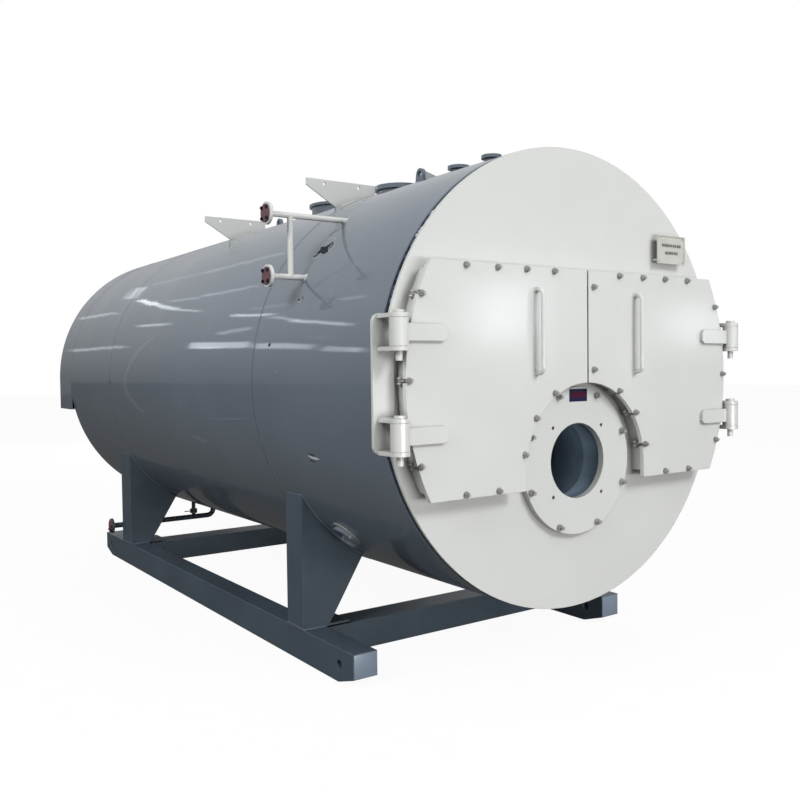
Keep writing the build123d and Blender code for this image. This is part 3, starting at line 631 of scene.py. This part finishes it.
def film_scraps():
    """Scraps of protective film left in the gap behind the end plate."""
    neck_low, neck_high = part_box("neck_ring")
    neck_width = neck_high.y - neck_low.y
    radius = neck_high.x + 0.009
    crumple = (-0.002, 0.008)
    first_seed = 300
    rows = 4
    columns = 14
    white, blue = Shape(), Shape()
    scraps = ((20.0, 4.0, blue), (24.5, 2.5, blue), (29.0, 3.0, blue), (33.0, 2.2, blue),
              (36.4, 3.4, white), (39.4, 2.0, blue), (42.0, 1.6, white), (-21.0, 3.0, blue),
              (-30.0, 2.0, blue))
    for index, (degrees, span, shape) in enumerate(scraps):
        draw = random.Random(first_seed + index)
        points, faces = [], []
        for row in range(rows):
            station = neck_low.y - front_y + neck_width * (0.08 + 0.84 * row / (rows - 1))
            for column in range(columns):
                turn = math.radians(degrees + span * (column / (columns - 1) - 0.5))
                reach = radius + draw.uniform(*crumple)
                points.append(place(-reach * math.cos(turn), station, reach * math.sin(turn)))
        for row in range(rows - 1):
            for column in range(columns - 1):
                first = row * columns + column
                faces.append((first, first + 1, first + columns + 1, first + columns))
        shape.add(points, faces)
    white.piece("film_scraps", "boiler", "neck_paint", film, sharp=80.0)
    blue.piece("film_scraps_blue", "boiler", "neck_paint", blue_film, sharp=80.0)


def burner_label():
    """The bare coloured plate over the burner opening."""
    plate_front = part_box("burner_plate")[0].y - front_y
    blue, red = Shape(), Shape()
    x = 0.004
    height = -0.084
    width = 0.136
    tall = 0.068
    wall = 0.003
    inset = 0.014
    low = place(x - width / 2, plate_front - wall, height - tall / 2)
    high = place(x + width / 2, plate_front, height + tall / 2)
    slab(blue, low, high, 0.001)
    slab(red, low + Vector((inset, -0.001, inset * 1.4)), high - Vector((inset, wall, inset)), 0.0004)
    blue.piece("burner_label", "boiler", "front_paint", label_blue)
    red.piece("burner_label_field", "boiler", "front_paint", label_red)


def nameplate_details():
    """The nameplate's two rows of blank fields and its corner screws."""
    low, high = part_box("nameplate")
    wide, tall = high.x - low.x, high.z - low.z
    field_height = 0.017
    field_rise = 0.0008
    fields, screws = Shape(), Shape()
    draw = random.Random(12)
    for row_share, start_share, end_share, count in ((0.60, 0.16, 0.86, 9), (0.34, 0.28, 0.76, 6)):
        width = wide * (end_share - start_share) / count
        bottom = low.z + tall * row_share
        for index in range(count):
            left = low.x + wide * start_share + width * index
            right = left + width * draw.uniform(0.5, 0.8)
            slab(fields, Vector((left, low.y - field_rise, bottom)),
                 Vector((right, low.y, bottom + field_height)), 0.0003)
    for x_share in (0.06, 0.94):
        for z_share in (0.09, 0.91):
            centre = Vector((low.x + wide * x_share, low.y, low.z + tall * z_share))
            lathe(screws, centre, -Y_AXIS, ((0.006, 0.0), (0.0055, 0.0015), (0.003, 0.0025)), 16)
    fields.piece("nameplate_fields", "boiler", "nameplate", ink)
    screws.piece("nameplate_screws", "boiler", "nameplate", materials["nameplate"])


def ring_of_bolts(shape, centre, axis, radius, count, bolt, start=0.0):
    """Bolt heads evenly round a circle; fewer than eight of them stand an eighth of a turn apart."""
    spots = circle(centre, axis, radius, math.tau * radius / count, start)
    for spot in spots[:count]:
        hex_bolt(shape, spot, axis, *bolt)


def column_flanges():
    """The water columns' station, and the heights of their lower and upper flange above the axis."""
    low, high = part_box("water_columns")
    flange_radius = (high.y - low.y) / 2
    station = (low.y + high.y) / 2 - front_y
    return station, (low.z + flange_radius - axis_height, high.z - flange_radius - axis_height)


# The blinds' thickness, and how far their bolts stand off them
blind_thickness = 0.007
blind_bolt_rise = 0.009

# Bolts as the head's widest width, its height and the washer's radius
column_bolt = (0.020, blind_bolt_rise / (1 + washer_share), 0.011)
drain_bolt = (0.022, blind_bolt_rise / (1 + washer_share), 0.012)
manhole_bolt = (0.026, 0.011, 0.016)
inspection_bolt = (0.034, 0.020, 0.020)
smokebox_bolt = (0.034, 0.018, 0.020)


def blind_disk(shape, centre, axis, radius):
    """A round plate with a slightly rounded rim."""
    lathe(shape, centre, axis,
          ((radius, 0.0), (radius, blind_thickness * 0.8), (radius * 0.97, blind_thickness)), 48)


def blinds():
    """Blinds with their bolts in place of the plain ones of the water columns and the drain."""
    heads, disks = Shape(), Shape()
    blind_depth = 0.016
    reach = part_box("pipe_blinds")[1].x - blind_depth
    column_radius = 0.050
    bolt_circle = column_radius * 0.84
    station, heights = column_flanges()
    for side in (-1, 1):
        for height in heights:
            centre = place(side * reach, station, height)
            blind_disk(disks, centre, X_AXIS * side, column_radius)
            for degrees in (45, 135, 225, 315):
                turn = math.radians(degrees)
                spot = centre + Vector((side * blind_thickness, math.cos(turn) * bolt_circle,
                                        math.sin(turn) * bolt_circle))
                hex_bolt(heads, spot, X_AXIS * side, *column_bolt)
    drain_low, drain_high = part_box("drain_pipe")
    drain_radius = 0.060
    drain_flange_radius = 0.068
    drain = Vector((drain_low.x, (drain_low.y + drain_high.y) / 2, drain_low.z + drain_flange_radius))
    blind_disk(disks, drain, -X_AXIS, drain_radius)
    face = drain - X_AXIS * blind_thickness
    ring_of_bolts(heads, face, -X_AXIS, drain_radius * 0.8, 4, drain_bolt, 45.0)
    heads.piece("blind_bolts", "boiler", "blind_paint", dark_mark)
    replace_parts(disks.piece("blinds", "boiler", "blind_paint", materials["blind_paint"]), "pipe_blinds")


def cover_bolts():
    """Bolts of the manhole, of the rear inspection cover and of the rear smokebox cover."""
    heads = Shape()
    low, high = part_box("manhole")
    middle = (low + high) / 2
    lid_drop = 0.012
    top = Vector((middle.x, middle.y, high.z - lid_drop))
    ring_of_bolts(heads, top, Z_AXIS, (high.x - low.x) * 0.43, 12, manhole_bolt)
    low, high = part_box("rear_inspection_cover")
    cover = Vector((0, high.y - 0.002, (low.z + high.z) / 2))
    ring_of_bolts(heads, cover, Y_AXIS, (high.x - low.x) * 0.43, 12, inspection_bolt)
    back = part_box("rear_smokebox_cover")[1].y - 0.001
    row_reach = 1.18
    row_drop = 0.262
    arc_radius = 1.205
    spots = [Vector((share * row_reach, back, axis_height - row_drop))
             for share in (-0.92, -0.62, -0.31, 0.0, 0.31, 0.62, 0.92)]
    for degrees in range(0, 181, 15):
        turn = math.radians(degrees)
        spots.append(Vector((arc_radius * math.cos(turn), back,
                             axis_height + arc_radius * math.sin(turn))))
    for spot in spots:
        hex_bolt(heads, spot, Y_AXIS, *smokebox_bolt)
    heads.piece("cover_bolts", "boiler", "shell_paint", shell_weld)


def saddle_weld(shape, station, degrees, radius, width, seed, side=-1):
    """A bead where a round branch enters the shell's side."""
    path = []
    count = max(24, round(math.tau * radius / (width / 2)))
    for index in range(count):
        turn = math.tau * index / count
        turned_degrees = math.degrees(radius * math.sin(turn) / shell_radius)
        path.append(on_shell(station + radius * math.cos(turn), degrees + turned_degrees, 0.001, side))
    outward = on_shell(station, degrees, 0.0, side) - place(0, station, 0)
    weld(shape, path, width, outward, True, seed)


def shell_joint(shape, x, first_station, last_station, side, width, seed):
    """A bead along the shell where an upright plate at one distance from the middle meets it."""
    rise = math.sqrt(shell_radius ** 2 - x ** 2)
    path = stepped([place(side * x, first_station, rise), place(side * x, last_station, rise)], width / 2)
    weld(shape, path, width, X_AXIS, False, seed)


def across_shell(first_x, last_x, count, side, station, upward):
    """Points on the shell's outline at one station, between two distances from the middle."""
    path = []
    for step in range(count):
        x = first_x + (last_x - first_x) * step / (count - 1)
        path.append(place(side * x, station, upward * math.sqrt(shell_radius ** 2 - x ** 2)))
    return path


# Sizes of the weld beads and of the edges they run along
bead_step = 0.006
bead_width = 0.010
foot_bead_width = 0.012
wing_bead_width = 0.008
leg_top_width = 0.434
wing_inner_x = 0.19
wing_outer_x = 0.46
lug_length = 0.120
bracket_bead_reach = 0.320


def leg_welds(skid, shell, end):
    """Beads round the legs' feet, and along the shell where the legs' faces meet it."""
    low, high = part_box(end + "_legs")
    first, last = low.y - front_y, high.y - front_y
    base = low.z - axis_height + 0.001
    outer = high.x - 0.006
    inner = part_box(end + "_cross_beam")[1].x + 0.004
    for side in (-1, 1):
        foot = [place(side * outer, first, base), place(side * outer, last, base),
                place(side * inner, last, base), place(side * inner, first, base)]
        weld(skid, stepped(foot, bead_step, True), foot_bead_width, Z_AXIS, True, 40 + side)
        for station in (first, last):
            path = across_shell(outer, high.x - leg_top_width, 60, side, station, -1)
            weld(shell, path, bead_width, Y_AXIS, False, 50 + side)


def cross_beam_welds(skid, end):
    """Upright beads where a cross beam meets the long beams."""
    low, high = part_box(end + "_cross_beam")
    for side in (-1, 1):
        for station in (low.y - front_y, high.y - front_y):
            column = [place(side * high.x, station, low.z - axis_height + 0.006),
                      place(side * high.x, station, high.z - axis_height - 0.004)]
            weld(skid, stepped(column, bead_step), bead_width, X_AXIS, False, 60 + side)


def weld_beads():
    """Beads at the legs, cross beams, wings, lugs and hinge brackets."""
    skid, cream, shell = Shape(), Shape(), Shape()
    for end in ("front", "rear"):
        leg_welds(skid, shell, end)
        cross_beam_welds(skid, end)
    for end in ("front", "rear"):
        wing_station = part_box(end + "_platform_brackets")[0].y - front_y
        for side in (-1, 1):
            path = across_shell(wing_inner_x, wing_outer_x, 70, side, wing_station, 1)
            weld(cream, path, wing_bead_width, Y_AXIS, False, 70 + side)
    lug_low, lug_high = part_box("lifting_lugs")
    front_lug = lug_low.y - front_y
    rear_lug = lug_high.y - front_y - lug_length
    for first in (front_lug, rear_lug):
        for side in (-1, 1):
            shell_joint(shell, lug_high.x, first, first + lug_length, side, bead_width, 80)
    for side in (-1, 1):
        column = [place(side * shell_radius, 0.0, -bracket_bead_reach),
                  place(side * shell_radius, 0.0, bracket_bead_reach)]
        weld(cream, stepped(column, bead_width / 2), bead_width, X_AXIS, False, 90)
    skid.piece("skid_welds", "boiler", "skid_paint", skid_weld)
    cream.piece("bracket_welds", "boiler", "front_paint", cream_weld)
    shell.piece("shell_welds", "boiler", "shell_paint", shell_weld)


def branch_welds():
    """Beads round the water columns' stubs, the nozzles and the hand holes' rings; the rings' beads are
    pale, a painted highlight.
    """
    cream, shell, rim = Shape(), Shape(), Shape()
    pipe_radius = 0.017
    hand_hole_degrees = -45.6
    column_station, heights = column_flanges()
    for side in (-1, 1):
        for height in heights:
            degrees = math.degrees(math.asin(height / shell_radius))
            saddle_weld(cream, column_station, degrees, pipe_radius + 0.004, 0.008, 100, side)
    for name, width in (("steam_outlet", 0.014), ("vent_nozzle", 0.008), ("safety_valve_nozzle", 0.008)):
        low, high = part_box(name)
        station = (low.y + high.y) / 2 - front_y
        radius = (high.x - low.x) / 2 * 0.83 + 0.003
        count = 160
        path = []
        for index in range(count):
            turn = math.tau * index / count
            x = radius * math.cos(turn)
            path.append(place(x, station + radius * math.sin(turn), math.sqrt(shell_radius ** 2 - x ** 2)))
        weld(shell, path, width, Z_AXIS, True, 110)
    low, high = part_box("hand_holes")
    station = (low.y + high.y) / 2 - front_y
    for side in (-1, 1):
        saddle_weld(rim, station, hand_hole_degrees, (high.y - low.y) / 2 + 0.004, 0.012, 120, side)
    cream.piece("branch_welds", "boiler", "front_paint", cream_weld)
    shell.piece("nozzle_welds", "boiler", "shell_paint", shell_weld)
    rim.piece("hand_hole_rims", "boiler", "shell_paint", rim_highlight)


def door_details():
    """Weld beads at the handles' feet, riding on each leaf."""
    clear = 0.001
    for name in ("left", "right"):
        beads = Shape()
        low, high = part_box(name + "_door_handle")
        middle_x = (low.x + high.x) / 2
        radius = (high.x - low.x) / 2
        for z in (low.z + radius, high.z - radius):
            ring = circle(Vector((middle_x, door_face - clear, z)), Y_AXIS, radius + 0.002, 0.003)
            weld(beads, ring, 0.007, Y_AXIS, True, 130)
        beads.piece(name + "_door_welds", name + "_door", "front_paint", cream_weld)


def lug_gusset():
    """The small pale wedge at the foot of the front lifting lug."""
    gusset = Shape()
    half_wall = 0.006
    base = 1.2495
    top = 1.378
    toe_station = 1.060
    toe_top = 1.259
    lug_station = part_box("lifting_lugs")[0].y - front_y
    outline = ((lug_station, top), (lug_station, base), (toe_station, base), (toe_station, toe_top))
    points = [place(side * half_wall, station, height) for side in (-1, 1) for station, height in outline]
    count = len(outline)
    faces = [tuple(range(count)), tuple(range(count, 2 * count))]
    for index in range(count):
        after = (index + 1) % count
        faces.append((index, after, count + after, count + index))
    gusset.add(points, faces)
    gusset.piece("lug_gusset", "boiler", "shell_paint", pale_plate)


def lamp(name, spot, target, width, height, power, colour=(1.0, 1.0, 1.0)):
    """An area lamp that faces its target and that the camera doesn't see."""
    facing = (Vector(target) - Vector(spot)).to_track_quat("-Z", "Y").to_matrix().to_4x4()
    return area_lamp(name, Matrix.Translation(spot) @ facing, width, height, power, colour)


def area_lamp(name, stand, width, height, power, colour):
    """A lamp that the camera doesn't see, in a stand that says where it is and faces."""
    data = bpy.data.lights.new(name, "AREA")
    data.shape = "RECTANGLE"
    data.size = width
    data.size_y = height
    data.energy = power
    data.color = colour
    made = bpy.data.objects.new(name, data)
    made.matrix_world = stand
    made.visible_camera = False
    bpy.context.scene.collection.objects.link(made)
    return made


def mirrored(spot, normal, reach):
    """The point that the camera sees in a glossy surface at the spot."""
    ray = (spot - camera_place).normalized()
    return spot + (ray - normal * 2 * ray.dot(normal)) * reach


def strip_lamp(name, start, end, breadth, level):
    """A hall lamp that shows as a streak on the shell between two (station, degrees) places."""
    colour = (0.90, 0.95, 1.0)
    reach = 9.0
    ends = []
    for station, degrees in (start, end):
        spot = on_shell(station, degrees)
        ends.append(mirrored(spot, (spot - place(0, station, 0)).normalized(), reach))
    centre = (ends[0] + ends[1]) / 2
    along = ends[1] - ends[0]
    length = along.length
    middle = on_shell((start[0] + end[0]) / 2, (start[1] + end[1]) / 2)
    back = (centre - middle).normalized()
    along.normalize()
    across = back.cross(along).normalized()
    back = along.cross(across)
    stand = Matrix.Translation(centre) @ Matrix((along, across, back)).transposed().to_4x4()
    made = area_lamp(name, stand, length, breadth, level * math.pi * length * breadth, colour)
    made.visible_diffuse = False


# Hall lamps behind and to the left, by where their streaks show on the shell: start, end, breadth, level
hall_lamps = (
    ((2.43, 11.3), (1.46, 10.4), 0.33, 2.4), ((1.38, 10.0), (0.69, 8.9), 0.27, 2.2),
    ((0.56, 8.3), (0.20, 7.6), 0.25, 2.1), ((0.30, 7.9), (0.12, 7.4), 0.18, 1.1),
    ((2.25, 10.4), (1.90, 10.2), 0.09, 1.2),
    ((5.73, 28.9), (4.55, 28.7), 0.13, 0.8), ((5.62, 13.0), (3.92, 12.9), 0.15, 0.8),
    ((4.47, 37.9), (4.13, 37.3), 0.75, 0.9), ((3.98, 32.8), (3.45, 28.7), 0.14, 2.4),
    ((3.45, 28.7), (2.95, 25.2), 0.13, 2.0), ((2.95, 25.2), (2.44, 22.9), 0.09, 1.3),
    ((3.17, 29.2), (2.56, 28.2), 0.12, 0.6), ((2.52, 28.5), (1.63, 28.7), 0.12, 0.8),
    ((3.93, 40.0), (2.79, 39.6), 0.14, 0.2), ((2.79, 39.6), (1.52, 40.0), 0.14, 0.45),
    ((3.67, 20.4), (2.97, 19.9), 0.13, 1.3), ((1.96, 14.3), (1.50, 15.4), 0.12, 1.4),
    ((1.79, 19.6), (1.25, 18.5), 0.12, 2.8), ((1.24, 17.7), (0.90, 15.9), 0.11, 1.6),
    ((0.98, 16.1), (0.33, 13.7), 0.13, 2.8), ((0.69, 10.9), (0.53, 11.3), 0.09, 0.4),
    ((1.60, 21.0), (1.10, 20.9), 0.10, 0.5), ((0.47, 20.1), (0.25, 20.2), 0.12, 1.0),
)


def set_hall_lamps():
    """The lamps whose streaks show on the shell."""
    for index, (start, end, breadth, level) in enumerate(hall_lamps):
        strip_lamp(f"hall_lamp_{index}", start, end, breadth, level)


# Windows that show in the gloss of the door leaves: x, height above the axis, width, height, level
door_windows = (
    (-0.60, 0.34, 0.78, 0.72, 8.5),
    (0.87, 0.31, 0.60, 0.50, 6.0),
)


def door_window_lamps():
    """Two soft windows that show in the gloss of the door leaves."""
    reach = 7.0
    colour = (0.86, 0.90, 1.0)
    for index, (x, height, width, tall, level) in enumerate(door_windows):
        spot = Vector((x, door_face, axis_height + height))
        source = mirrored(spot, -Y_AXIS, reach)
        power = level * math.pi * width * tall
        made = lamp(f"window_lamp_{index}", source, spot, width, tall, power, colour)
        made.visible_diffuse = False


# The hall's level by the height of the view: low and high of the view, level below, level above
diffuse_hall = (-0.05, 0.85, 0.27, 0.50)
glossy_hall = (-0.04, 0.36, 0.09, 0.60)

# The share of the plain white that gloss sees, in the hall and in the floor
glossy_share = 0.08
floor_glossy_share = 0.06
floor_greys = (0.055, 0.065)
floor_glow = 0.94


def seen_white(tree, share):
    """How much plain white a ray sees: all of it straight or through glass, a share of it in gloss."""
    path = node(tree, "LightPath")
    direct = node(tree, "Math", {0: path.outputs["Is Camera Ray"], 1: path.outputs["Is Transmission Ray"]},
                  operation="MAXIMUM").outputs[0]
    glossy = times(tree, path.outputs["Is Glossy Ray"], share)
    return node(tree, "Math", {0: direct, 1: glossy}, operation="MAXIMUM").outputs[0]


def set_world():
    """A soft hall, brighter above; straight views of it are plain white, and gloss sees some of it."""
    world = bpy.data.worlds.new("studio")
    bpy.context.scene.world = world
    world.use_nodes = True
    tree = world.node_tree
    tree.nodes.clear()
    glossy = node(tree, "LightPath").outputs["Is Glossy Ray"]
    direction = node(tree, "TexCoord").outputs["Generated"]
    up = node(tree, "SeparateXYZ", {"Vector": direction}).outputs["Z"]
    levels = {0: glossy, 2: spread(tree, up, *diffuse_hall), 3: spread(tree, up, *glossy_hall)}
    level = node(tree, "Mix", levels, data_type="FLOAT").outputs[0]
    soft = node(tree, "Background", {"Color": (0.93, 0.96, 1.0, 1.0), "Strength": level})
    white = node(tree, "Background", {"Color": (1.0, 1.0, 1.0, 1.0), "Strength": 1.0})
    mixed = node(tree, "MixShader", {0: seen_white(tree, glossy_share)})
    tree.links.new(soft.outputs["Background"], mixed.inputs[1])
    tree.links.new(white.outputs["Background"], mixed.inputs[2])
    output = node(tree, "OutputWorld")
    tree.links.new(mixed.outputs["Shader"], output.inputs["Surface"])


def floor_material():
    """White to the camera with the object's faint shadow on it; plain grey as a bounce of light."""
    material = bpy.data.materials.new("floor_white")
    material.use_nodes = True
    tree = material.node_tree
    tree.nodes.clear()
    coords = node(tree, "TexCoord").outputs["Object"]
    grain = spread(tree, noise(tree, coords, 6.0), 0.3, 0.7, *floor_greys)
    grey = node(tree, "CombineColor", {0: grain, 1: grain, 2: grain})
    matte = node(tree, "BsdfDiffuse", {"Color": grey.outputs[0]})
    glow = node(tree, "Emission", {"Color": (1.0, 1.0, 1.0, 1.0), "Strength": floor_glow})
    shown = node(tree, "AddShader")
    tree.links.new(matte.outputs[0], shown.inputs[0])
    tree.links.new(glow.outputs[0], shown.inputs[1])
    mixed = node(tree, "MixShader", {0: seen_white(tree, floor_glossy_share)})
    tree.links.new(matte.outputs[0], mixed.inputs[1])
    tree.links.new(shown.outputs[0], mixed.inputs[2])
    output = node(tree, "OutputMaterial")
    tree.links.new(mixed.outputs[0], output.inputs["Surface"])
    return material


def set_floor():
    """A wide floor at the height the skid stands on."""
    half = 60.0
    mesh = bpy.data.meshes.new("floor")
    corners = [(-half, -half, 0), (half, -half, 0), (half, half, 0), (-half, half, 0)]
    mesh.from_pydata(corners, [], [(0, 1, 2, 3)])
    mesh.materials.append(floor_material())
    floor = bpy.data.objects.new("floor", mesh)
    bpy.context.scene.collection.objects.link(floor)


def studio_lamps():
    """A high key lamp, a low wide fill in front, and lamps for the side, the rear and the throat."""
    middle = place(0.0, 0.0, 0.0)
    key_lamp = lamp("key_lamp", middle + Vector((3.6, -13.5, 9.2)), middle, 4.5, 4.5, power=1450.0)
    lamp("front_lamp", middle + Vector((-0.8, -8.0, -0.75)), middle - Z_AXIS, 6.0, 1.6, power=330.0)
    side_lamp = lamp("side_lamp", (-9.0, -3.5, 6.4), (-0.8, -0.5, 1.6), 4.0, 3.0, power=520.0)
    back_lamp = lamp("back_lamp", (5.0, 14.0, 6.0), (0.0, 1.0, 1.5), 5.0, 5.0, power=500.0)
    throat_lamp = lamp("throat_lamp", place(-0.10, 0.12, -0.40), place(0.28, 1.0, -0.45), 0.16, 0.16,
                       power=0.40)
    for made in (key_lamp, side_lamp, back_lamp, throat_lamp):
        made.visible_glossy = False


dress_frame()
set_camera()
cladding_seams()
lit_beam_caps()
shell_marks()
film_scraps()
burner_label()
nameplate_details()
blinds()
cover_bolts()
weld_beads()
branch_welds()
door_details()
lug_gusset()
set_world()
set_floor()
set_hall_lamps()
door_window_lamps()
studio_lamps()

bpy.context.scene.view_settings.view_transform = "Standard"
